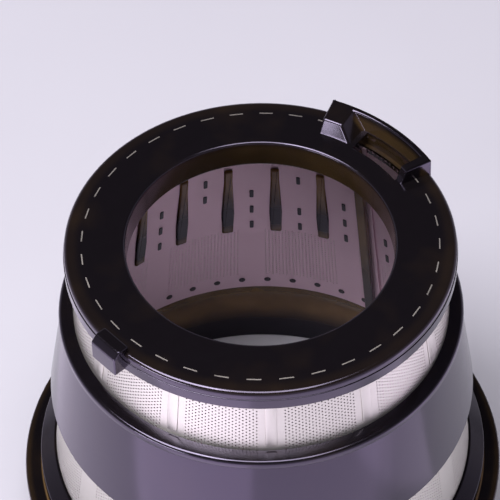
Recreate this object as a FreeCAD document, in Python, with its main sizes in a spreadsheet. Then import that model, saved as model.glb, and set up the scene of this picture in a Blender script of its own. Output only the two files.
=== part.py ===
"""Strainer of a slow juicer: a rolled steel screen moulded into a plastic frame, standing on its mouth.

Two pieces. The screen is one thin steel cone, lapped along one seam, with tabs along its narrow end. The
frame is one moulding that grips the screen in three rings: the ring plate at the narrow end, the skirt half
way down and the mouth at the foot. Plastic runs through slots in the screen, so it carries the inner ribs.
+Z is the axis, from the mouth up, and +X passes through the middle of the pulp outlet's guard.
"""

import FreeCAD, Part
import Sketcher
import os

# Driving dimensions in millimetres and degrees, with heights measured up from the mouth's rim
SIZES = {
    # Steel screen
    "tab_radius": 34.5,  # outer radius of the screen at the ring's face, where its tabs end
    "cone_angle": 8.4,  # half angle of the cone
    "sheet_wall": 0.4,
    "sheet_foot": 20.5,  # height of the screen's lower edge
    "panel_count": 12,  # panels round the cone, each with three tabs and two ribs
    "tab_span": 4.5,
    "lap_start": 4.0,  # angle where the inner layer of the lapped seam begins
    "lap_span": 5.6,
    "slit_span": 2.4,
    "slit_margin": 1.6,  # plain steel between a slit's end and the plastic
    "cut_margin": 1.0,  # how far cutting shapes run past what they cut
    # Ring plate at the narrow end
    "ring_face": 84.0,
    "ring_reach": 3.5,  # from the tabs out to the ring's edge
    "bore_radius": 26.0,
    "bore_depth": 6.1,
    "bore_wall": 2.4,
    "plate_wall": 3.0,
    "band_height": 4.3,
    "ring_bevel": 0.7,
    # Guard round the pulp outlet, on the ring's face
    "guard_start": -20.5,
    "guard_span": 40.5,
    "guard_rise": 3.3,
    "guard_tilt": 0.4,  # how much lower the guard's inner ends are
    "guard_wall": 2.2,
    "outlet_start": -17.3,
    "outlet_span": 22.5,
    "outlet_ledge": 1.6,  # plate left between the bore's wall and the outlet
    # Key that sets the strainer's angle in its bowl
    "key_angle": 175.4,
    "key_width": 6.6,
    "key_reach": 2.2,  # how far it stands out from the ring
    "key_root": 1.4,  # how far it reaches back over the ring's face
    "key_rise": 1.4,
    "key_height": 6.9,
    "key_slope": 1.3,
    # Skirt half way down
    "skirt_top": 66.4,
    "skirt_foot": 43.3,
    "skirt_wall": 2.6,
    "lip_height": 2.2,
    "lip_fall": 1.0,
    # Ribs inside the skirt
    "rib_rise": 1.2,
    "rib_neck": 1.8,
    "rib_belly": 2.8,
    "rib_end": 2.4,
    "rib_neck_share": 0.2,  # how far down the rib its neck ends, as a share of its length
    "rib_belly_share": 0.7,
    "rib_margin": 0.3,  # how far the ribs run past the skirt's edges
    "rib_clearance": 0.03,  # keeps a rib's flat back clear of the curved screen
    "stem_span": 1.5,  # width of the stem that joins a rib to the skirt through the screen
    "stem_margin": 2.5,
    "bar_width": 2.3,
    "bar_rise": 1.6,
    # Mouth at the foot, with its radii measured out from the screen's lower edge
    "collar_top": 25.2,
    "collar_fall": 2.7,
    "collar_reach": 2.72,
    "flange_top": 18.5,
    "flange_wall": 2.4,
    "flange_reach": 6.32,
    "mouth_reach": 4.92,
    "mouth_wall": 2.4,
    "mouth_ledge": 15.0,
}

doc = FreeCAD.newDocument("juicer_mesh_screen")
sheet = doc.addObject("Spreadsheet::Sheet", "Sizes")
for row, (name, value) in enumerate(SIZES.items(), start=1):
    sheet.set(f"A{row}", name)
    sheet.set(f"B{row}", str(value))
    sheet.setAlias(f"B{row}", name)
doc.recompute()


def size(name):
    return f"Sizes.{name}"


def cone(height):
    """Outer radius of the screen at a height."""
    return f"(Sizes.tab_radius + (Sizes.ring_face - {height}) * tan(Sizes.cone_angle))"


def inside(height, depth="0"):
    """Radius that lies a depth inside the screen's inner face at a height."""
    return f"({cone(height)} - Sizes.sheet_wall - {depth})"


SECTOR = "(360 / Sizes.panel_count)"
PLAIN_ANGLE = f"(-0.45 * {SECTOR})"  # full rings start here, where no tab, slit or rib lies
TAB_PITCH = f"({SECTOR} / 3)"
RIB_ANGLE = f"({SECTOR} / 4)"
RING_FACE = size("ring_face")
RING_RADIUS = "(Sizes.tab_radius + Sizes.ring_reach)"
BORE_OUTSIDE = "(Sizes.bore_radius + Sizes.bore_wall)"
PLATE_FOOT = f"({RING_FACE} - Sizes.plate_wall)"
BAND_FOOT = f"({RING_FACE} - Sizes.band_height)"
LIP_FOOT = "(Sizes.skirt_top - Sizes.lip_height)"
RIB_TOP = "(Sizes.skirt_top - Sizes.rib_margin)"
RIB_FOOT = "(Sizes.skirt_foot - Sizes.rib_margin)"
STEM_LOW = f"({RIB_FOOT} + Sizes.stem_margin)"
STEM_HIGH = f"({RIB_TOP} - Sizes.stem_margin)"
FLANGE_FOOT = "(Sizes.flange_top - Sizes.flange_wall)"
COLLAR_EDGE = "(Sizes.collar_top - Sizes.collar_fall)"
COLLAR_RADIUS = f"({cone(size('sheet_foot'))} + Sizes.collar_reach)"
MOUTH_RADIUS = f"({cone(size('sheet_foot'))} + Sizes.mouth_reach)"
FLANGE_RADIUS = f"({cone(size('sheet_foot'))} + Sizes.flange_reach)"


def origin_feature(body, role):
    return next(f for f in body.Origin.OriginFeatures if f.Role == role)


def new_body(name, base=None):
    body = doc.addObject("PartDesign::Body", name)
    body.AllowCompound = True
    if base is not None:
        body.BaseFeature = base
    return body


def new_sketch(body, name, plane, outlines, turn=None):
    """Sketch on a plane through the axis, turned about the axis, with closed outlines of (across, height)."""
    sketch = body.newObject("Sketcher::SketchObject", name)
    sketch.AttachmentSupport = [(origin_feature(body, plane), "")]
    sketch.MapMode = "FlatFace"
    if turn is not None:
        upright = FreeCAD.Vector(0, 1, 0)
        sketch.AttachmentOffset = FreeCAD.Placement(FreeCAD.Vector(), FreeCAD.Rotation(upright, 1))
        sketch.setExpression(".AttachmentOffset.Rotation.Angle", turn)
    for outline in outlines:
        draw_outline(sketch, outline)
    return sketch


def draw_outline(sketch, corners):
    """Closed polygon whose corners are placed by expressions."""
    first = sketch.GeometryCount
    count = len(corners)
    places = []
    for across, height in corners:
        x = float(sketch.evalExpression(across))
        y = float(sketch.evalExpression(height))
        places.append(FreeCAD.Vector(x, y, 0))
    for i in range(count):
        sketch.addGeometry(Part.LineSegment(places[i], places[(i + 1) % count]))
    for i in range(count):
        joint = Sketcher.Constraint("Coincident", first + i, 2, first + (i + 1) % count, 1)
        sketch.addConstraint(joint)
    for i, (across, height) in enumerate(corners):
        for kind, text, start in (("DistanceX", across, places[i].x), ("DistanceY", height, places[i].y)):
            index = sketch.addConstraint(Sketcher.Constraint(kind, -1, 1, first + i, 1, start))
            sketch.setExpression(f"Constraints[{index}]", text)


def new_feature(body, kind, name, sketch):
    feature = body.newObject(f"PartDesign::{kind}", name)
    feature.Profile = sketch
    feature.Refine = False
    return feature


def revolve(body, name, corners, start=PLAIN_ANGLE, span="360", kind="Revolution"):
    """Ring or part of one, from an outline of (radius, height) swept round the axis from a start angle."""
    sketch = new_sketch(body, f"{name}_outline", "XZ_Plane", [corners], start)
    feature = new_feature(body, kind, name, sketch)
    feature.ReferenceAxis = (sketch, ["V_Axis"])
    feature.setExpression("Angle", span)
    doc.recompute()


def pad_across(body, name, corners, turn, width):
    """Fin of even width, standing in the half plane at an angle about the axis."""
    sketch = new_sketch(body, f"{name}_outline", "XZ_Plane", [corners], turn)
    feature = new_feature(body, "Pad", name, sketch)
    feature.SideType = "Symmetric"
    feature.setExpression("Length", width)
    doc.recompute()


def copies_round(piece, angles):
    """A piece's shape, copied and turned to each angle about the axis."""
    up = FreeCAD.Vector(0, 0, 1)
    copies = []
    for angle in angles:
        copy = piece.Shape.copy()
        copy.rotate(FreeCAD.Vector(), up, angle)
        copies.append(copy)
    return copies


def cut_round(name, base, cutter, count):
    """A ring with one cutter taken out of it at even steps round the axis."""
    steps = [step * 360 / count for step in range(count)]
    cutters = doc.addObject("Part::Feature", f"{name}_cutters")
    cutters.Shape = Part.makeCompound(copies_round(cutter, steps))
    cut = doc.addObject("Part::Cut", name)
    cut.Base = base
    cut.Tool = cutters
    cut.Refine = False
    doc.recompute()
    return cut


def across_wall(low, high):
    """Outline that runs right through the screen's wall between two heights."""
    margin = size("cut_margin")
    return [
        (inside(low, margin), low),
        (f"({cone(low)} + {margin})", low),
        (f"({cone(high)} + {margin})", high),
        (inside(high, margin), high),
    ]


def make_screen():
    """Steel cone with its tabs, its slits, the slots that the plastic runs through, and the lapped seam."""
    foot = size("sheet_foot")
    margin = size("slit_margin")
    cone_body = new_body("screen_cone")
    wall = [
        (inside(foot), foot),
        (cone(foot), foot),
        (cone(RING_FACE), RING_FACE),
        (inside(RING_FACE), RING_FACE),
    ]
    revolve(cone_body, "wall", wall)

    # Openings of one panel; the tabs are what is left between the notches
    openings = new_body("panel_openings")
    notch = across_wall(PLATE_FOOT, f"({RING_FACE} + Sizes.cut_margin)")
    for step in (-1, 0, 1):
        start = f"({step} * {TAB_PITCH} + Sizes.tab_span / 2)"
        revolve(openings, "tab_notch", notch, start, f"({TAB_PITCH} - Sizes.tab_span)")
    slits = [
        across_wall(f"(Sizes.skirt_top + {margin})", f"({BAND_FOOT} - {margin})"),
        across_wall(f"(Sizes.collar_top + {margin})", f"(Sizes.skirt_foot - {margin})"),
    ]
    for slit in slits:
        revolve(openings, "slit", slit, "(-Sizes.slit_span / 2)", size("slit_span"))
    for side in (-1, 1):
        start = f"({side} * {RIB_ANGLE} - Sizes.stem_span / 2)"
        revolve(openings, "stem_slot", across_wall(STEM_LOW, STEM_HIGH), start, size("stem_span"))
    cut_cone = cut_round("cut_cone", cone_body, openings, int(sheet.panel_count))

    # Inner layer along the seam, and the gap that lets the pulp out
    body = new_body("screen_sheet", cut_cone)
    revolve(body, "lap", lap_outline(), size("lap_start"), size("lap_span"))
    start = f"({RIB_ANGLE} - Sizes.stem_span / 2)"
    revolve(body, "lap_slot", across_wall(STEM_LOW, STEM_HIGH), start, size("stem_span"), "Groove")
    revolve(body, "outlet_notch", notch, size("outlet_start"), size("outlet_span"), "Groove")
    return body


def lap_outline():
    """Cross-section of the inner layer along the lapped seam."""
    foot = size("sheet_foot")
    wall = size("sheet_wall")
    return [
        (inside(foot, wall), foot),
        (inside(foot), foot),
        (inside(PLATE_FOOT), PLATE_FOOT),
        (inside(PLATE_FOOT, wall), PLATE_FOOT),
    ]


def make_rings():
    """The ring plate with seats for the tabs, the skirt and the mouth."""
    body = new_body("frame_rings")
    bore = size("bore_radius")
    collar_foot = f"({RING_FACE} - Sizes.bore_depth)"
    ring = [
        (bore, collar_foot),
        (BORE_OUTSIDE, collar_foot),
        (BORE_OUTSIDE, PLATE_FOOT),
        (cone(PLATE_FOOT), PLATE_FOOT),
        (cone(BAND_FOOT), BAND_FOOT),
        (RING_RADIUS, BAND_FOOT),
        (RING_RADIUS, f"({RING_FACE} - Sizes.ring_bevel)"),
        (f"({RING_RADIUS} - Sizes.ring_bevel)", RING_FACE),
        (bore, RING_FACE),
    ]
    revolve(body, "ring", ring)

    top = size("skirt_top")
    foot = size("skirt_foot")
    lip_edge = f"({top} - Sizes.lip_fall)"
    lip_radius = f"({cone(LIP_FOOT)} + Sizes.skirt_wall)"
    skirt = [
        (cone(foot), foot),
        (f"({cone(foot)} + Sizes.skirt_wall)", foot),
        (lip_radius, LIP_FOOT),
        (lip_radius, lip_edge),
        (cone(top), top),
    ]
    revolve(body, "skirt", skirt)

    mouth_inside = f"({MOUTH_RADIUS} - Sizes.mouth_wall)"
    collar_top = size("collar_top")
    screen_foot = size("sheet_foot")
    mouth = [
        (mouth_inside, "0"),
        (MOUTH_RADIUS, "0"),
        (MOUTH_RADIUS, FLANGE_FOOT),
        (FLANGE_RADIUS, FLANGE_FOOT),
        (FLANGE_RADIUS, size("flange_top")),
        (COLLAR_RADIUS, size("flange_top")),
        (COLLAR_RADIUS, COLLAR_EDGE),
        (cone(collar_top), collar_top),
        (cone(screen_foot), screen_foot),
        (mouth_inside, size("mouth_ledge")),
    ]
    revolve(body, "mouth", mouth)

    # Seats for the tabs, from the plate's underside up through its face
    seat_high = f"({RING_FACE} + Sizes.cut_margin)"
    seat = new_body("tab_seat")
    seat_outline = [
        (inside(PLATE_FOOT), PLATE_FOOT),
        (cone(PLATE_FOOT), PLATE_FOOT),
        (cone(seat_high), seat_high),
        (inside(seat_high), seat_high),
    ]
    revolve(seat, "seat", seat_outline, "(-Sizes.tab_span / 2)", size("tab_span"))
    return cut_round("seated_rings", body, seat, 3 * int(sheet.panel_count))


def stem_outline(depth):
    """Outline of a stem from a depth inside the screen's inner face out into the skirt."""
    root = "(Sizes.skirt_wall / 4)"
    return [
        (inside(STEM_LOW, depth), STEM_LOW),
        (f"({cone(STEM_LOW)} + {root})", STEM_LOW),
        (f"({cone(STEM_HIGH)} + {root})", STEM_HIGH),
        (inside(STEM_HIGH, depth), STEM_HIGH),
    ]


def make_rib():
    """One rib with its stem: a narrow neck, a wide belly and a blunt end."""
    body = new_body("rib")
    rise = size("rib_rise")
    back = size("rib_clearance")
    rib_low = f"({RIB_FOOT} + {rise})"
    rib_high = f"({RIB_TOP} - {rise})"
    side = [
        (inside(RIB_FOOT, back), RIB_FOOT),
        (inside(RIB_TOP, back), RIB_TOP),
        (inside(rib_high, rise), rib_high),
        (inside(rib_low, rise), rib_low),
    ]
    pad_across(body, "rib_block", side, "0", "(Sizes.rib_belly + 2 * Sizes.cut_margin)")

    # The block is trimmed on both sides to the rib's width
    length = f"({RIB_TOP} - {RIB_FOOT})"
    margin = size("cut_margin")
    edge = [
        ("(Sizes.rib_neck / 2)", f"({RIB_TOP} + {margin})"),
        ("(Sizes.rib_neck / 2)", f"({RIB_TOP} - Sizes.rib_neck_share * {length})"),
        ("(Sizes.rib_belly / 2)", f"({RIB_TOP} - Sizes.rib_belly_share * {length})"),
        ("(Sizes.rib_end / 2)", f"({RIB_FOOT} - {margin})"),
        (f"(Sizes.rib_belly / 2 + 2 * {margin})", f"({RIB_FOOT} - {margin})"),
        (f"(Sizes.rib_belly / 2 + 2 * {margin})", f"({RIB_TOP} + {margin})"),
    ]
    mirrored = [(f"(-1 * {across})", height) for across, height in edge]
    sketch = new_sketch(body, "rib_trim_outline", "YZ_Plane", [edge, mirrored])
    trim = new_feature(body, "Pocket", "rib_trim", sketch)
    trim.Reversed = True
    trim.setExpression("Length", FLANGE_RADIUS)
    doc.recompute()
    revolve(body, "stem", stem_outline(f"({rise} / 2)"), "(-Sizes.stem_span / 2)", size("stem_span"))
    return body


def make_moulding(rings, rib):
    """The rings with a rib at every place but the seam's."""
    pitch = 180 / int(sheet.panel_count)
    angles = [pitch * (step + 0.5) for step in range(1, 2 * int(sheet.panel_count))]
    moulding = doc.addObject("Part::Feature", "moulding")
    moulding.Shape = rings.Shape.multiFuse(copies_round(rib, angles))
    return moulding


def make_frame(moulding):
    body = new_body("moulded_frame", moulding)

    # Bar over the seam, from the ring plate down to the mouth
    rise = size("bar_rise")
    wall = size("sheet_wall")
    foot = size("sheet_foot")
    bar_foot = f"({foot} - {rise})"
    bar_top = f"({PLATE_FOOT} + Sizes.plate_wall / 2)"
    bar = [
        (inside(foot, rise), foot),
        (f"({cone(bar_foot)} + {rise} / 2)", bar_foot),
        (inside(foot, f"{wall} / 2"), foot),
        (inside(PLATE_FOOT, f"{wall} / 2"), PLATE_FOOT),
        (inside(RING_FACE, wall), bar_top),
        (inside(PLATE_FOOT, rise), bar_top),
        (inside(PLATE_FOOT, rise), PLATE_FOOT),
    ]
    pad_across(body, "seam_bar", bar, RIB_ANGLE, size("bar_width"))
    revolve(body, "lap_space", lap_outline(), size("lap_start"), size("lap_span"), "Groove")
    start = f"({RIB_ANGLE} - Sizes.stem_span / 2)"
    revolve(body, "bar_stem", stem_outline(f"({rise} / 2)"), start, size("stem_span"))

    # Guard on the ring's face, keyed into the ring's bevelled edge, and the outlet through it
    guard_top = f"({RING_FACE} + Sizes.guard_rise)"
    guard_root = f"({RING_FACE} - Sizes.plate_wall / 2)"
    guard_inside = f"({RING_RADIUS} - Sizes.guard_wall)"
    outlet_edge = f"({BORE_OUTSIDE} + Sizes.outlet_ledge)"
    guard = [
        (outlet_edge, RING_FACE),
        (guard_inside, RING_FACE),
        (guard_inside, guard_root),
        (RING_RADIUS, guard_root),
        (RING_RADIUS, guard_top),
        (outlet_edge, f"({guard_top} - Sizes.guard_tilt)"),
    ]
    revolve(body, "guard", guard, size("guard_start"), size("guard_span"))
    clear = f"({guard_top} + Sizes.cut_margin)"
    below = f"({PLATE_FOOT} - Sizes.cut_margin)"
    outlet = [
        (outlet_edge, below),
        (inside(PLATE_FOOT), below),
        (inside(PLATE_FOOT), PLATE_FOOT),
        (guard_inside, PLATE_FOOT),
        (guard_inside, clear),
        (outlet_edge, clear),
    ]
    revolve(body, "outlet", outlet, size("outlet_start"), size("outlet_span"), "Groove")

    # Key on the ring's edge
    key_top = f"({RING_FACE} + Sizes.key_rise)"
    key_out = f"({RING_RADIUS} + Sizes.key_reach)"
    key_foot = f"({key_top} - Sizes.key_height)"
    key_root = f"({RING_RADIUS} - Sizes.key_root)"
    key = [
        (key_root, key_foot),
        (key_out, key_foot),
        (key_out, f"({key_top} - Sizes.key_slope)"),
        (f"({key_out} - Sizes.key_slope)", key_top),
        (key_root, key_top),
    ]
    pad_across(body, "key", key, size("key_angle"), size("key_width"))
    return body


pieces = [make_screen(), make_frame(make_moulding(make_rings(), make_rib()))]

# Everything is checked before anything is written
for item in doc.Objects:
    if "Invalid" in item.State or "Error" in item.State:
        raise RuntimeError(f"{item.Name} failed: {item.State}")
for piece in pieces:
    shape = piece.Shape
    if shape.isNull() or not shape.isValid():
        raise RuntimeError(f"{piece.Name} has no valid shape")
    if len(shape.Solids) != 1:
        raise RuntimeError(f"{piece.Name} has {len(shape.Solids)} solids")
os.makedirs("parts", exist_ok=True)
for piece in pieces:
    piece.Shape.exportStep(f"parts/{piece.Name}.step")
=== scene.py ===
"""Looks of a slow juicer's strainer: a perforated steel cone moulded into a smoked plastic frame.

Lengths are in millimetres and angles in degrees until a mesh is finished. Heights run up from the mouth's
rim, and angles turn about the axis from the middle of the pulp outlet's guard.
"""

from math import cos, floor, radians, sin, tan

import bmesh
import bpy
from mathutils import Matrix, Vector
from numpy import interp


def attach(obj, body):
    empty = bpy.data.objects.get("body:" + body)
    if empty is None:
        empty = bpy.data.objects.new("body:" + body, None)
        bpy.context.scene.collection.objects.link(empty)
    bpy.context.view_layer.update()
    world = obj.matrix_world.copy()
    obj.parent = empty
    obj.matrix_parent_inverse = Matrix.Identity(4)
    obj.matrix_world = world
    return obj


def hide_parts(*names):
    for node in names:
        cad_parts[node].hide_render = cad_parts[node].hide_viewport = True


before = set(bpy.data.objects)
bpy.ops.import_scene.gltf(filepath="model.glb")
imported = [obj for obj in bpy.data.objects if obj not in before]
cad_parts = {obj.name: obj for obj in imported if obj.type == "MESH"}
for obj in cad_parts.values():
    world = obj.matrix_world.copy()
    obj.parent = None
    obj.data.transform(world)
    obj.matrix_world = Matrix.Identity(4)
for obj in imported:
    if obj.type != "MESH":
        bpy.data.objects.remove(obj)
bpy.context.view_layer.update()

MM = 0.001
TURN_STEPS = 200
STEPS_PER_DEGREE = 0.55

# Steel cone
RING_FACE = 84.0
TAB_RADIUS = 34.5
CONE_SLOPE = tan(radians(8.4))
SHEET_WALL = 0.4
SHEET_FOOT = 20.5
PANELS = 12
SECTOR = 360 / PANELS
LAP_START = 4.0
LAP_END = 9.6

# Tabs at the cone's narrow end, in all of 36 places but the two at the outlet
TAB_PLACES = range(1, 35)
TAB_PITCH = 10.0
TAB_WIDTH = 2.7
TAB_HEIGHT = 3.0
TAB_PROUD = 0.03
TAB_EDGE = 0.24  # how much of a tab's thickness the plastic leaves bare

# Perforation, in staggered columns that run up the cone
PANEL_COLUMNS = 22
STRIP_COLUMNS = 7
COLUMN_ANGLE = 1.0235
HOLE_PITCH = 0.813
HOLE_RADIUS = 0.17
HOLE_MARGIN = 0.1
UPPER_ROWS = 18
UPPER_LOW = 66.0
UPPER_HIGH = UPPER_LOW + UPPER_ROWS * HOLE_PITCH
LOWER_ROWS = 22
LOWER_LOW = 25.3
LOWER_HIGH = LOWER_LOW + LOWER_ROWS * HOLE_PITCH

# Stiffening panels pressed out of the plain strips
PRESSED_WIDTH = 2.2
PRESSED_LOW = 67.3
PRESSED_HIGH = 80.2
PRESSED_RISE = 0.16

# Ring plate
RING_RADIUS = 38.0
BORE_RADIUS = 26.0
BORE_WALL = 2.4
BORE_FOOT = 77.9
PLATE_FOOT = 81.0
BAND_FOOT = 79.7
BAND_STEP = 82.3
BAND_STEP_DEPTH = 0.15

# Pulp outlet and the guard round it, which leans in from its foot to its top
OUTLET_RADIUS = 30.8
OUTLET_START = -17.3
OUTLET_END = 5.2
OUTLET_WALL = 2.2
GUARD_ROOT = 1.2
GUARD_RISE = 3.28
GUARD_TILT = 0.4
GUARD_CORNER = 1.5  # rounding of the one blunt corner
GUARD_EDGE = 0.4
GUARD_FOOT_ANGLES = (-20.5, OUTLET_START, OUTLET_END, 20.0)
GUARD_TOP_ANGLES = (-20.0, -16.7, 12.0, 19.2)
GUARD_FOOT_RADII = (30.5, RING_RADIUS - OUTLET_WALL, RING_RADIUS)
GUARD_TOP_RADII = (32.3, 36.9, RING_RADIUS)

# Key on the ring's edge
RING_KEY_ANGLE = 175.4
RING_KEY_WIDTH = 6.6
RING_KEY_HEIGHT = 5.7
RING_KEY_REACH = 2.2
RING_KEY_ROOT = 1.4
RING_KEY_RISE = 1.4
RING_KEY_SLOPE = 1.3
RING_KEY_EDGE = 0.35

# Skirt and its lip
SKIRT_TOP = 66.25
SKIRT_TUCK = 66.4  # where the cone has the radius of the skirt's top edge, which is tucked into the steel
SKIRT_FOOT = 43.3
SKIRT_WALL = 2.6
LIP_FOOT = 64.0
LIP_LEVEL = 64.2  # where the skirt's slope gives the lip's radius
LIP_UNDERSIDE = 64.3
LIP_TOP = 65.9
LIP_OVERHANG = 0.35

# Mouth
COLLAR_TOP = 25.2
COLLAR_LEDGE = 0.4
COLLAR_SHOULDER = 22.5
COLLAR_RADIUS = 46.6
FLANGE_TOP = 18.5
FLANGE_FOOT = 16.1
FLANGE_RADIUS = 50.15
MOUTH_RADIUS = 48.75
MOUTH_WALL = 2.4
MOUTH_SHOULDER = 15.0

# Ribs inside the cone, and the bar that takes the place of the first one over the seam
RIB_PLACES = range(1, 24)
RIB_ANGLE = 7.5
RIB_PITCH = 15.0
RIB_RISE = 0.6
RIB_HALF = [(0.9, 65.4), (0.9, 61.5), (1.4, 50.0), (1.2, 43.0)]  # half width and height, from the top
BAR_WIDTH = 2.3
BAR_FOOT = 19.4
BAR_TOP = 82.0
BAR_RISE = 1.6

# Plastic that shows through the steel: upright marks between the ribs, and a row of dots over the mouth
MARK_WIDTH = 0.85
MARK_HEIGHT = 2.5
MARK_RISE = 0.14
MARK_COLUMNS = 24
MARK_CYCLE = 6
MARK_ROWS = {61.9: (2, 4), 56.4: (1, 3, 4, 5), 50.7: (0, 1, 2, 3, 5), 45.1: (0, 1, 2, 3, 5)}
DOT_RADIUS = 0.8
DOT_TOP_RADIUS = 0.7
DOT_DEPTH = 0.24
DOT_HEIGHT = 23.4
DOT_START = 2.9
DOT_PITCH = 7.5
DOTS = 48


def cone(height):
    """Outer radius of the steel cone at a height."""
    return TAB_RADIUS + (RING_FACE - height) * CONE_SLOPE


def inside(height, depth=0.0):
    """Radius a depth inside the steel's inner face at a height."""
    return cone(height) - SHEET_WALL - depth


# Colour and node helpers

def linear(code):
    """Linear colour from an sRGB hex value."""
    channels = [int(code[i:i + 2], 16) / 255 for i in (1, 3, 5)]
    return [c / 12.92 if c <= 0.04045 else ((c + 0.055) / 1.055) ** 2.4 for c in channels] + [1.0]


def add_node(tree, kind, settings=None, **inputs):
    """Node with its settings, and its inputs set to values or linked to other nodes' outputs.

    An input goes by its name, or by its number as i0, i1 and so on.
    """
    new = tree.nodes.new(kind)
    for name, value in (settings or {}).items():
        setattr(new, name, value)
    for name, value in inputs.items():
        key = int(name[1:]) if name[0] == "i" and name[1:].isdigit() else name.replace("_", " ")
        socket = new.inputs[key]
        if isinstance(value, bpy.types.NodeSocket):
            tree.links.new(value, socket)
        else:
            socket.default_value = value
    return new


def new_material(name):
    """Empty material with its surface shader."""
    material = bpy.data.materials.new(name)
    material.use_nodes = True
    tree = material.node_tree
    tree.nodes.clear()
    shader = add_node(tree, "ShaderNodeBsdfPrincipled")
    add_node(tree, "ShaderNodeOutputMaterial", Surface=shader.outputs[0])
    return material, tree, shader


def part_measure(tree, axis):
    """Distance from the axis, or height, in millimetres."""
    place = add_node(tree, "ShaderNodeTexCoord").outputs["Object"]
    if axis == "radius":
        flat = add_node(tree, "ShaderNodeVectorMath", {"operation": "MULTIPLY"}, i0=place, i1=(1, 1, 0))
        length = add_node(tree, "ShaderNodeVectorMath", {"operation": "LENGTH"}, i0=flat.outputs[0])
        metres = length.outputs["Value"]
    else:
        metres = add_node(tree, "ShaderNodeSeparateXYZ", Vector=place).outputs["Z"]
    return add_node(tree, "ShaderNodeMath", {"operation": "DIVIDE"}, i0=metres, i1=MM).outputs[0]


def smoked_plastic(name, painted_glow_zones=(), filmed=False):
    """Moulded smoked polycarbonate: near black and glossy where it is thick, with painted amber glow where
    light gets through.

    A painted glow zone is a strength and the limits, each of (axis, no glow here, full glow here), that bound
    it.
    Faces that were polished in the mould mirror the table strongly, and those filmed with juice stay dark.
    """
    material, tree, shader = new_material(name)
    place = add_node(tree, "ShaderNodeTexCoord").outputs["Object"]

    # Clouds of the dye, about 9 mm across, and the painted amber glow of the zones broken up by them
    cloud = add_node(tree, "ShaderNodeTexNoise", Vector=place, Scale=1 / (9 * MM), Detail=2.0)
    glow = add_node(tree, "ShaderNodeMapRange", Value=cloud.outputs[0], From_Min=0.5, From_Max=0.8,
                    To_Max=0.01).outputs[0]
    patch = add_node(tree, "ShaderNodeMapRange", Value=cloud.outputs[0], From_Min=0.3, From_Max=0.7,
                     To_Min=0.6).outputs[0]
    # Each zone paints amber glow into the base colour, standing in for light that passes through the thin
    # plastic
    for strength, limits in painted_glow_zones:
        zone = add_node(tree, "ShaderNodeMath", {"operation": "MULTIPLY"}, i0=patch, i1=strength).outputs[0]
        for axis, none, full in limits:
            ramp = add_node(tree, "ShaderNodeMapRange", {"interpolation_type": "SMOOTHSTEP"},
                            Value=part_measure(tree, axis), From_Min=none, From_Max=full).outputs[0]
            zone = add_node(tree, "ShaderNodeMath", {"operation": "MULTIPLY"}, i0=zone, i1=ramp).outputs[0]
        glow = add_node(tree, "ShaderNodeMath", {"operation": "ADD"}, i0=glow, i1=zone).outputs[0]
    colour = add_node(tree, "ShaderNodeMix", {"data_type": "RGBA"}, i0=glow, i6=linear("#0E0B0D"),
                      i7=linear("#B48C52"))
    tree.links.new(colour.outputs[2], shader.inputs["Base Color"])

    # Dulled by handling in spots of about 3 mm, over waves that the melt left, about 6 mm long
    handling = add_node(tree, "ShaderNodeTexNoise", Vector=place, Scale=1 / (3 * MM), Detail=5.0)
    gloss = add_node(tree, "ShaderNodeMapRange", Value=handling.outputs[0], To_Min=0.1, To_Max=0.2)
    tree.links.new(gloss.outputs[0], shader.inputs["Roughness"])
    flow = add_node(tree, "ShaderNodeTexNoise", Vector=place, Scale=1 / (6 * MM), Detail=1.0)
    wave = add_node(tree, "ShaderNodeBump", Strength=0.06, Distance=0.2 * MM, Height=flow.outputs[0])
    tree.links.new(wave.outputs[0], shader.inputs["Normal"])

    # Polycarbonate's IOR is about 1.58: the polish needs more to match, and the film less
    shader.inputs["IOR"].default_value = 1.42 if filmed else 1.75
    # Painted reflection colour: the reflections are tinted lavender, like the lavender room they mirror
    shader.inputs["Specular Tint"].default_value = linear("#DED0F4")
    return material


def rolled_steel(name, code, painted_shade_code, smooth, rough):
    """Cold-rolled stainless sheet: bright and a little hazy outside, with painted shade in a darker mauve on
    its faces inside the cone.

    The rolls leave lines finer than a hair, which are drawn about 0.5 mm wide so that they show.
    """
    material, tree, shader = new_material(name)
    shader.inputs["Metallic"].default_value = 1.0
    coordinates = add_node(tree, "ShaderNodeTexCoord")
    place = coordinates.outputs["Object"]
    outwards = add_node(tree, "ShaderNodeVectorMath", {"operation": "MULTIPLY"}, i0=place, i1=(1, 1, 0))
    facing = add_node(tree, "ShaderNodeVectorMath", {"operation": "DOT_PRODUCT"}, i0=outwards.outputs[0],
                      i1=coordinates.outputs["Normal"])
    # Painted shade: faces that look in towards the axis get the darker mauve colour
    painted_shade_inside = add_node(tree, "ShaderNodeMath", {"operation": "LESS_THAN"}, i0=facing.outputs["Value"], i1=0.0)
    colour = add_node(tree, "ShaderNodeMix", {"data_type": "RGBA"}, i0=painted_shade_inside.outputs[0], i6=linear(code),
                      i7=linear(painted_shade_code))
    tree.links.new(colour.outputs[2], shader.inputs["Base Color"])
    stretch = add_node(tree, "ShaderNodeMapping", Vector=place, Scale=(0.08, 0.08, 1.0))
    lines = add_node(tree, "ShaderNodeTexNoise", Vector=stretch.outputs[0], Scale=1 / (0.5 * MM), Detail=3.0)
    haze = add_node(tree, "ShaderNodeMapRange", Value=lines.outputs[0], To_Min=smooth, To_Max=rough)
    tree.links.new(haze.outputs[0], shader.inputs["Roughness"])
    return material


# Shape helpers

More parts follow.
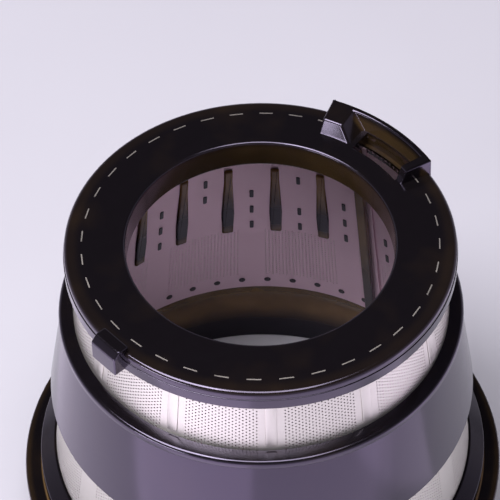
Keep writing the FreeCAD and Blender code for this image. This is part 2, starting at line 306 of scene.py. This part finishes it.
def finish_piece(bm, name, material, node):
    """Object from a mesh in millimetres, outward, smooth but for its sharp edges, and riding on the part."""
    bmesh.ops.remove_doubles(bm, verts=bm.verts[:], dist=1e-4)
    bmesh.ops.recalc_face_normals(bm, faces=bm.faces[:])
    bmesh.ops.scale(bm, vec=(MM, MM, MM), verts=bm.verts[:])
    mesh = bpy.data.meshes.new(name)
    bm.to_mesh(mesh)
    bm.free()
    mesh.shade_smooth()
    mesh.set_sharp_from_angle(angle=radians(35))
    mesh.materials.append(material)
    piece = bpy.data.objects.new(name, mesh)
    bpy.context.collection.objects.link(piece)
    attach(piece, "root")
    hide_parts(node)
    return piece


def plastic(bm, name, material):
    """Moulded piece, with its flat faces kept flat beside rounded edges."""
    piece = finish_piece(bm, name, material, "moulded_frame")
    piece.modifiers.new("flat_faces", "WEIGHTED_NORMAL").keep_sharp = True


def steel(bm, name, material):
    """Piece of the steel sheet."""
    finish_piece(bm, name, material, "screen_sheet")


def round_off(bm, geom, size, segments, affect="EDGES"):
    """Rounds edges, or the corners of an outline."""
    bmesh.ops.bevel(bm, geom=geom, affect=affect, offset=size, segments=segments, profile=0.5, material=-1)


def extrude_all(bm):
    """Extrudes all faces as one region, and gives the new vertices, which lie where the old ones do."""
    lifted = bmesh.ops.extrude_face_region(bm, geom=bm.faces[:])["geom"]
    return {item for item in lifted if isinstance(item, bmesh.types.BMVert)}


def turn_about_axis(bm, angle):
    """Turns a mesh about the part's axis."""
    bmesh.ops.rotate(bm, cent=(0, 0, 0), matrix=Matrix.Rotation(radians(angle), 3, "Z"), verts=bm.verts[:])


def add_copies(bm, new, angles=(0.0,)):
    """Moves a mesh into another, once for each angle about the axis."""
    last = 0.0
    carrier = bpy.data.meshes.new("carrier")
    for angle in angles:
        turn_about_axis(new, angle - last)
        new.to_mesh(carrier)
        bm.from_mesh(carrier)
        last = angle
    new.free()
    bpy.data.meshes.remove(carrier)


def turn_section(bm, corners, start=0.0, end=360.0):
    """Ring, or part of one, turned from an outline of (radius, height, rounding)."""
    new = bmesh.new()
    points = [new.verts.new((radius, 0, height)) for radius, height, _ in corners]
    new.faces.new(points)
    for point, (_, _, rounding) in zip(points, corners):
        if rounding:
            round_off(new, [point], rounding, 4, "VERTICES")
    turn_about_axis(new, start)
    angle = radians(end - start)
    if end - start < 360:
        steps = round((end - start) * STEPS_PER_DEGREE)
        bmesh.ops.spin(new, geom=new.faces[:], axis=(0, 0, 1), angle=angle, steps=steps)
    else:
        outline = new.edges[:]
        bmesh.ops.delete(new, geom=new.faces[:], context="FACES_ONLY")
        bmesh.ops.spin(new, geom=outline, axis=(0, 0, 1), angle=angle, steps=TURN_STEPS, use_merge=True)
    add_copies(bm, new)


def lean_on_cone(bm, outwards=False):
    """Stands a mesh of (across, height, rise) on the steel's inner or outer face, at angle 0."""
    rise, foot = (1, cone(0)) if outwards else (-1, inside(0))
    lean = Matrix((
        (0, -CONE_SLOPE, rise, foot),
        (1, 0, 0, 0),
        (0, 1, 0, 0),
        (0, 0, 0, 1),
    ))
    bmesh.ops.transform(bm, matrix=lean, verts=bm.verts[:])


def upright_panel(width, low, high):
    """Outline of a rectangle, as (across, height)."""
    return [(-width / 2, low), (width / 2, low), (width / 2, high), (-width / 2, high)]


def raised_shape(corners, rise, corner_round, edge_round):
    """Low boss from an outline of (across, height), with its outline and upper edge rounded."""
    bm = bmesh.new()
    points = [bm.verts.new((across, height, 0)) for across, height in corners]
    bm.faces.new(points)
    if corner_round:
        round_off(bm, points, corner_round, 3, "VERTICES")
    top = extrude_all(bm)
    bmesh.ops.translate(bm, vec=(0, 0, rise), verts=list(top))
    rim = [edge for edge in bm.edges if all(vert in top for vert in edge.verts)]
    round_off(bm, rim, edge_round, 3)
    bmesh.ops.recalc_face_normals(bm, faces=bm.faces[:])
    return bm


# Plastics: the zones are painted amber glow, standing in for light that gets through the thin rims and walls,
# and what was wetted is filmed
frame_plastic = smoked_plastic("moulded_polycarbonate")
ring_plastic = smoked_plastic("moulded_polycarbonate_ring", [
    (0.013, [("radius", 34.6, 36.4), ("height", 83.2, 83.7)]),
    (0.08, [("radius", 26.5, 26.1), ("height", 84.0, 82.5)]),
    (0.08, [("radius", 36.3, 35.9), ("radius", 34.0, 35.7), ("height", 83.95, 83.3)]),
])
guard_plastic = smoked_plastic("moulded_polycarbonate_guard", [
    (0.08, [("radius", 37.6, 36.8), ("radius", 35.0, 36.0), ("height", 87.0, 85.5)]),
])
rib_plastic = smoked_plastic("moulded_polycarbonate_ribs", [
    (1.0, [("height", 50.0, 62.0)]),
    (0.4, [("height", 46.5, 44.0), ("height", 41.5, 42.5)]),
], filmed=True)
bar_plastic = smoked_plastic("moulded_polycarbonate_bar", [(0.35, [("height", 20.0, 62.0)])], filmed=True)
mark_plastic = smoked_plastic("moulded_polycarbonate_marks", [(0.02, [("height", 70.0, 40.0)])], filmed=True)
mouth_plastic = smoked_plastic("moulded_polycarbonate_mouth", [
    (0.45, [("radius", 47.0, 46.5), ("height", 5.0, 12.0), ("height", 20.6, 19.6)]),
    (0.03, [("radius", 48.5, 49.6)]),
], filmed=True)

# Steels: the sheet as it was rolled, and the duller ends of the tabs as they were sheared
# The sheet's second colour is painted shade on the faces inside the cone
sheet_steel = rolled_steel("cold_rolled_stainless", "#CBC9C0", "#C5AAB6", 0.34, 0.46)
tab_steel = rolled_steel("sheared_stainless_edge", "#D5CCC6", "#D5CCC6", 0.35, 0.5)


# Pieces of the moulded frame

def make_ring():
    """Ring plate, open where the pulp leaves."""
    bore_outside = BORE_RADIUS + BORE_WALL
    band = RING_RADIUS - BAND_STEP_DEPTH
    wall = RING_RADIUS - OUTLET_WALL
    bore_foot = [
        (BORE_RADIUS, BORE_FOOT, 0.3), (bore_outside, BORE_FOOT, 0.3), (bore_outside, PLATE_FOOT, 0),
    ]
    bore_edge = [(BORE_RADIUS, RING_FACE, 0.6)]
    outlet_edge = [(OUTLET_RADIUS, PLATE_FOOT, 0), (OUTLET_RADIUS, RING_FACE, 0.4)]
    outlet_wall = [(wall, RING_FACE, 0), (wall, PLATE_FOOT, 0)]
    rim = [
        (inside(PLATE_FOOT), PLATE_FOOT, 0), (inside(BAND_FOOT), BAND_FOOT, 0), (RING_RADIUS, BAND_FOOT, 0.4),
        (RING_RADIUS, BAND_STEP, 0.14), (band, BAND_STEP, 0), (band, RING_FACE, 0.9),
    ]
    bm = bmesh.new()
    turn_section(bm, bore_foot + rim + bore_edge, OUTLET_END, 360 + OUTLET_START)
    turn_section(bm, bore_foot + outlet_edge + bore_edge, OUTLET_START, OUTLET_END)
    turn_section(bm, rim + outlet_wall, OUTLET_START, OUTLET_END)
    plastic(bm, "ring_plate", ring_plastic)


def make_guard():
    """Wall round the outlet with two unlike prongs that reach in over the ring's face, all with draft."""
    bm = bmesh.new()
    bmesh.ops.create_grid(bm, x_segments=3, y_segments=2, size=0.5)
    for vert in bm.verts:
        across = round((vert.co.x + 0.5) * 3)
        out = round((vert.co.y + 0.5) * 2)
        vert.co = (GUARD_FOOT_ANGLES[across], GUARD_FOOT_RADII[out], 0)
    middle = [face for face in bm.faces if OUTLET_START < face.calc_center_median().x < OUTLET_END]
    outlet = [face for face in middle if face.calc_center_median().y < RING_RADIUS - OUTLET_WALL]
    bmesh.ops.delete(bm, geom=outlet, context="FACES")
    along = [edge for edge in bm.edges if abs(edge.verts[0].co.x - edge.verts[1].co.x) > 0.1]
    bmesh.ops.subdivide_edges(bm, edges=along, cuts=11, use_grid_fill=True)
    inwards = [edge for edge in bm.edges if abs(edge.verts[0].co.y - edge.verts[1].co.y) > 0.1]
    bmesh.ops.subdivide_edges(bm, edges=inwards, cuts=4, use_grid_fill=True)
    top = extrude_all(bm)

    # The flat plan of (angle, radius) becomes the guard
    for vert in bm.verts:
        angle, reach, height = vert.co.x, vert.co.y, RING_FACE - GUARD_ROOT
        if vert in top:
            angle = interp(angle, GUARD_FOOT_ANGLES, GUARD_TOP_ANGLES)
            reach = interp(reach, GUARD_FOOT_RADII, GUARD_TOP_RADII)
            drop = GUARD_TILT * (RING_RADIUS - reach) / (RING_RADIUS - OUTLET_RADIUS)
            height = RING_FACE + GUARD_RISE - drop
        vert.co = (reach * cos(radians(angle)), reach * sin(radians(angle)), height)
    bmesh.ops.recalc_face_normals(bm, faces=bm.faces[:])
    tall = [edge for edge in bm.edges if abs(edge.verts[0].co.z - edge.verts[1].co.z) > GUARD_RISE]
    outer = [edge for edge in tall if all(vert.co.xy.length > RING_RADIUS - 0.1 for vert in edge.verts)]
    far = [edge for edge in outer if all(vert.co.y > 0 for vert in edge.verts)]
    round_off(bm, [edge for edge in far if edge.calc_face_angle() > radians(50)], GUARD_CORNER, 5)
    shared = [edge for edge in bm.edges if len(edge.link_faces) == 2]
    sharp = [edge for edge in shared if edge.calc_face_angle() > radians(40)]
    raised = [edge for edge in sharp if max(vert.co.z for vert in edge.verts) > RING_FACE]
    round_off(bm, raised, GUARD_EDGE, 4)
    plastic(bm, "outlet_guard", guard_plastic)


def make_ring_key():
    """Key on the ring's edge, with a sloped upper corner."""
    top = RING_FACE + RING_KEY_RISE
    foot = top - RING_KEY_HEIGHT
    root = RING_RADIUS - RING_KEY_ROOT
    out = RING_RADIUS + RING_KEY_REACH
    outline = [
        (root, foot), (out, foot), (out, top - RING_KEY_SLOPE), (out - RING_KEY_SLOPE, top), (root, top),
    ]
    bm = bmesh.new()
    bm.faces.new([bm.verts.new((radius, -RING_KEY_WIDTH / 2, height)) for radius, height in outline])
    bmesh.ops.translate(bm, vec=(0, RING_KEY_WIDTH, 0), verts=list(extrude_all(bm)))
    round_off(bm, bm.edges[:], RING_KEY_EDGE, 3)
    turn_about_axis(bm, RING_KEY_ANGLE)
    plastic(bm, "ring_key", frame_plastic)


def make_skirt():
    """Skirt round the cone, with its lip."""
    lip = cone(LIP_LEVEL) + SKIRT_WALL
    bm = bmesh.new()
    turn_section(bm, [
        (cone(SKIRT_FOOT), SKIRT_FOOT, 0), (cone(SKIRT_FOOT) + SKIRT_WALL, SKIRT_FOOT, 0.35),
        (lip - LIP_OVERHANG, LIP_FOOT, 0.1), (lip, LIP_UNDERSIDE, 0.25), (lip, LIP_TOP, 0.75),
        (cone(SKIRT_TUCK), SKIRT_TOP, 0),
    ])
    plastic(bm, "skirt", frame_plastic)


def make_mouth():
    """Mouth with its collar and flange."""
    mouth_inside = MOUTH_RADIUS - MOUTH_WALL
    bm = bmesh.new()
    turn_section(bm, [
        (mouth_inside, 0, 0.4), (MOUTH_RADIUS, 0, 0.5), (MOUTH_RADIUS, FLANGE_FOOT, 0.3),
        (FLANGE_RADIUS, FLANGE_FOOT, 0.5), (FLANGE_RADIUS, FLANGE_TOP, 0.6), (COLLAR_RADIUS, FLANGE_TOP, 0.4),
        (COLLAR_RADIUS, COLLAR_SHOULDER, 0.2), (cone(COLLAR_TOP) + COLLAR_LEDGE, COLLAR_TOP, 0.2),
        (cone(COLLAR_TOP), COLLAR_TOP, 0), (cone(SHEET_FOOT), SHEET_FOOT, 0),
        (inside(SHEET_FOOT), SHEET_FOOT, 0.2), (mouth_inside, MOUTH_SHOULDER, 1.2),
    ])
    plastic(bm, "mouth", mouth_plastic)


def make_ribs():
    """Ribs inside the skirt."""
    outline = RIB_HALF + [(-across, height) for across, height in reversed(RIB_HALF)]
    rib = raised_shape(outline, RIB_RISE, corner_round=0.3, edge_round=0.45)
    lean_on_cone(rib)
    bm = bmesh.new()
    add_copies(bm, rib, [RIB_ANGLE + RIB_PITCH * step for step in RIB_PLACES])
    plastic(bm, "ribs", rib_plastic)


def make_seam_bar():
    """Bar over the seam, from the mouth to the ring."""
    panel = upright_panel(BAR_WIDTH, BAR_FOOT, BAR_TOP)
    bar = raised_shape(panel, BAR_RISE, corner_round=0, edge_round=0.4)
    lean_on_cone(bar)
    bm = bmesh.new()
    add_copies(bm, bar, [RIB_ANGLE])
    plastic(bm, "seam_bar", bar_plastic)


def make_marks():
    """Marks and dots of plastic on the steel's inner face."""
    bm = bmesh.new()
    for level, places in MARK_ROWS.items():
        panel = upright_panel(MARK_WIDTH, level - MARK_HEIGHT / 2, level + MARK_HEIGHT / 2)
        mark = raised_shape(panel, MARK_RISE, corner_round=0.25, edge_round=0.06)
        lean_on_cone(mark)
        columns = [column for column in range(MARK_COLUMNS) if column % MARK_CYCLE in places]
        add_copies(bm, mark, [RIB_PITCH * column for column in columns])
    dot = bmesh.new()
    bmesh.ops.create_cone(dot, cap_ends=True, segments=14, radius1=DOT_RADIUS, radius2=DOT_TOP_RADIUS,
                          depth=DOT_DEPTH)
    bmesh.ops.translate(dot, vec=(0, DOT_HEIGHT, 0), verts=dot.verts[:])
    lean_on_cone(dot)
    add_copies(bm, dot, [DOT_START + DOT_PITCH * step for step in range(DOTS)])
    plastic(bm, "keys", mark_plastic)


# Pieces of the steel sheet

def make_mesh(name, low, rows, first, count):
    """Perforated panels, with the plain strips between them, from one panel on."""
    group = PANEL_COLUMNS + STRIP_COLUMNS
    columns = count * group
    levels = 2 * rows
    strip_angle = (SECTOR - PANEL_COLUMNS * COLUMN_ANGLE) / STRIP_COLUMNS
    mean = cone(low + rows * HOLE_PITCH / 2)

    def angle_at(index):
        panel, column = divmod(index, group)
        step = min(column, PANEL_COLUMNS) * COLUMN_ANGLE + max(0, column - PANEL_COLUMNS) * strip_angle
        return SECTOR * (first + panel) - PANEL_COLUMNS * COLUMN_ANGLE / 2 + step

    # A flat grid, in which pairs of squares are joined to cells that are staggered from column to column
    bm = bmesh.new()
    bmesh.ops.create_grid(bm, x_segments=columns, y_segments=levels, size=0.5)
    joined = []
    for edge in bm.edges:
        one, other = (vert.co for vert in edge.verts)
        if abs(one.y - other.y) > 1e-6:
            continue
        column = floor(((one.x + other.x) / 2 + 0.5) * columns)
        level = round((one.y + 0.5) * levels)
        perforated = column % group < PANEL_COLUMNS
        if perforated and 0 < level < levels and level % 2 != column % 2:
            joined.append(edge)
    for vert in bm.verts:
        angle = angle_at(round((vert.co.x + 0.5) * columns))
        vert.co = (radians(angle) * mean, low + (vert.co.y + 0.5) * rows * HOLE_PITCH, 0)
    bmesh.ops.dissolve_edges(bm, edges=joined, use_verts=False, use_face_split=False)

    # A six-sided hole in each cell
    cells = [face for face in bm.faces if len(face.verts) == 6]
    bmesh.ops.inset_individual(bm, faces=cells, thickness=HOLE_MARGIN, use_even_offset=True)
    for cell in cells:
        middle = cell.calc_center_median()
        for vert in cell.verts:
            vert.co = middle + (vert.co - middle).normalized() * HOLE_RADIUS
    bmesh.ops.delete(bm, geom=cells, context="FACES_ONLY")

    # The sheet gets its thickness and is bent to the cone
    back = extrude_all(bm)
    for vert in bm.verts:
        angle, height = vert.co.x / mean, vert.co.y
        reach = inside(height) if vert in back else cone(height)
        vert.co = (reach * cos(angle), reach * sin(angle), height)
    steel(bm, name, sheet_steel)


def make_bands():
    """Plain steel in the mouth, behind the skirt and under the ring."""
    bm = bmesh.new()
    for low, high in ((SHEET_FOOT, LOWER_LOW), (LOWER_HIGH, UPPER_LOW), (UPPER_HIGH, PLATE_FOOT)):
        turn_section(bm, [
            (inside(low), low, 0), (cone(low), low, 0), (cone(high), high, 0), (inside(high), high, 0),
        ])
    steel(bm, "screen_bands", sheet_steel)


def make_lap():
    """Second layer of the sheet, where it laps along the seam."""
    bm = bmesh.new()
    turn_section(bm, [
        (inside(SHEET_FOOT, SHEET_WALL), SHEET_FOOT, 0), (inside(SHEET_FOOT), SHEET_FOOT, 0),
        (inside(PLATE_FOOT), PLATE_FOOT, 0), (inside(PLATE_FOOT, SHEET_WALL), PLATE_FOOT, 0),
    ], LAP_START, LAP_END)
    steel(bm, "seam_lap", sheet_steel)


def make_pressed_strips():
    """Panels pressed out of the plain strips between the holes."""
    panel = upright_panel(PRESSED_WIDTH, PRESSED_LOW, PRESSED_HIGH)
    pressed = raised_shape(panel, PRESSED_RISE, corner_round=0.5, edge_round=0.12)
    lean_on_cone(pressed, outwards=True)
    bm = bmesh.new()
    add_copies(bm, pressed, [SECTOR * (panel + 0.5) for panel in range(PANELS)])
    steel(bm, "pressed_strips", sheet_steel)


def make_tabs():
    """Ends of the tabs, flush in the ring's face."""
    tab = bmesh.new()
    bmesh.ops.create_cube(tab, size=1.0)
    bmesh.ops.scale(tab, vec=(TAB_EDGE, TAB_WIDTH, TAB_HEIGHT), verts=tab.verts[:])
    place = (TAB_RADIUS - TAB_EDGE / 2, 0, RING_FACE + TAB_PROUD - TAB_HEIGHT / 2)
    bmesh.ops.translate(tab, vec=place, verts=tab.verts[:])
    bm = bmesh.new()
    add_copies(bm, tab, [TAB_PITCH * step for step in TAB_PLACES])
    steel(bm, "tabs", tab_steel)


make_ring()
make_guard()
make_ring_key()
make_skirt()
make_mouth()
make_ribs()
make_seam_bar()
make_marks()
make_mesh("mesh_upper", UPPER_LOW, UPPER_ROWS, 0, PANELS)
make_mesh("mesh_lower_front", LOWER_LOW, LOWER_ROWS, 0, PANELS // 2)
make_mesh("mesh_lower_back", LOWER_LOW, LOWER_ROWS, PANELS // 2, PANELS // 2)
make_bands()
make_lap()
make_pressed_strips()
make_tabs()

# Camera, fitted to the tabs and the ring's edges in a 500 by 500 picture
FOCAL_PIXELS = 2446
PICTURE_PIXELS = 500
VIEW_ELEVATION = radians(48.14)
VIEW_ANGLE = radians(42.74)
VIEW_ROLL = radians(0.86)
RING_OFFSET = Vector((2.016, 1.901, 469.7))  # ring's centre from the camera: right, up and away

level_away = Vector((cos(VIEW_ANGLE), sin(VIEW_ANGLE), 0))
level_right = Vector((sin(VIEW_ANGLE), -cos(VIEW_ANGLE), 0))
upright = Vector((0, 0, 1))
away = level_away * cos(VIEW_ELEVATION) - upright * sin(VIEW_ELEVATION)
over = level_away * sin(VIEW_ELEVATION) + upright * cos(VIEW_ELEVATION)
eye = upright * RING_FACE - level_right * RING_OFFSET.x - over * RING_OFFSET.y - away * RING_OFFSET.z
picture_right = level_right * cos(VIEW_ROLL) - over * sin(VIEW_ROLL)
picture_up = level_right * sin(VIEW_ROLL) + over * cos(VIEW_ROLL)
camera_data = bpy.data.cameras.new("photo_camera")
camera_data.sensor_width = 36
camera_data.lens = camera_data.sensor_width * FOCAL_PIXELS / PICTURE_PIXELS
camera_data.clip_start = 0.01
camera = bpy.data.objects.new("photo_camera", camera_data)
camera_axes = Matrix((picture_right, picture_up, -away)).transposed().to_4x4()
camera.matrix_world = Matrix.Translation(eye * MM) @ camera_axes
bpy.context.collection.objects.link(camera)
bpy.context.scene.camera = camera


# Floor and light, in metres

def make_floor():
    """Table with pale matt paint, which a roller left faintly mottled in patches of about 50 mm."""
    bm = bmesh.new()
    bmesh.ops.create_grid(bm, x_segments=1, y_segments=1, size=3.0)
    mesh = bpy.data.meshes.new("floor")
    bm.to_mesh(mesh)
    bm.free()
    material, tree, shader = new_material("roller_painted_table")
    place = add_node(tree, "ShaderNodeTexCoord").outputs["Object"]
    mottle = add_node(tree, "ShaderNodeTexNoise", Vector=place, Scale=1 / (50 * MM), Detail=3.0)
    colour = add_node(tree, "ShaderNodeMix", {"data_type": "RGBA"}, i0=mottle.outputs[0],
                      i6=linear("#C9C5D1"), i7=linear("#CDC9D5"))
    tree.links.new(colour.outputs[2], shader.inputs["Base Color"])
    shader.inputs["Roughness"].default_value = 0.7
    mesh.materials.append(material)
    floor_piece = bpy.data.objects.new("floor", mesh)
    bpy.context.collection.objects.link(floor_piece)


def spot(right, back, height):
    """Place as the camera sees it, from the axis and up from the floor."""
    return level_right * right + level_away * back + upright * height


def softbox(name, place, target, width, depth, watts, code="#FFFFFF"):
    """Soft lamp that shines from a place towards a target, with its width level and across the view."""
    data = bpy.data.lights.new(name, "AREA")
    data.color = linear(code)[:3]
    data.shape = "RECTANGLE"
    data.size = width
    data.size_y = depth
    data.energy = watts
    lamp = bpy.data.objects.new(name, data)
    back = (place - target).normalized()
    across = (level_right - back * level_right.dot(back)).normalized()
    lamp_axes = Matrix((across, back.cross(across), back)).transposed().to_4x4()
    lamp.matrix_world = Matrix.Translation(place) @ lamp_axes
    lamp.visible_camera = False
    bpy.context.collection.objects.link(lamp)


def floor_card(name, right, back, height, width, depth, watts):
    """Lavender card that lies just over the floor, for the polished plastic and the steel to mirror."""
    softbox(name, spot(right, back, height), spot(right, back, 1.0), width, depth, watts, "#E1CEEE")


def make_world():
    """Room that is pale near the floor and darker overhead."""
    world = bpy.data.worlds.new("studio")
    bpy.context.scene.world = world
    world.use_nodes = True
    tree = world.node_tree
    tree.nodes.clear()
    direction = add_node(tree, "ShaderNodeTexCoord").outputs["Generated"]
    rise = add_node(tree, "ShaderNodeSeparateXYZ", Vector=direction).outputs["Z"]
    share = add_node(tree, "ShaderNodeMapRange", Value=rise, From_Min=0.1, From_Max=0.6)
    colour = add_node(tree, "ShaderNodeMix", {"data_type": "RGBA"}, i0=share.outputs[0], i6=linear("#D9D5E4"),
                      i7=linear("#3A3840"))
    sky = add_node(tree, "ShaderNodeBackground", Color=colour.outputs[2], Strength=0.7)
    add_node(tree, "ShaderNodeOutputWorld", Surface=sky.outputs[0])


make_floor()
softbox("top_softbox", spot(-0.42, -0.2, 1.0), spot(0, 0, 0.08), 0.5, 0.5, 9.5)
softbox("overhead_softbox", spot(0, -0.12, 0.95), spot(0, 0, 0), 0.5, 0.5, 5.4)
softbox("left_window", spot(-0.52, -0.47, 0.13), spot(0, 0, 0.085), 0.3, 0.1, 1.2)
floor_card("front_card", -0.1, -0.2, 0.002, 0.8, 0.28, 0.25)
floor_card("middle_card", -0.14, -0.18, 0.003, 0.5, 0.22, 0.14)
floor_card("inner_card", -0.19, -0.17, 0.004, 0.36, 0.22, 0.2)
floor_card("left_card", -0.22, 0.02, 0.002, 0.3, 0.18, 0.09)
floor_card("right_card", 0.19, -0.06, 0.003, 0.22, 0.07, 0.03)
floor_card("side_card", 0.22, -0.01, 0.002, 0.2, 0.16, 0.15)
make_world()
bpy.context.scene.view_settings.view_transform = "Standard"
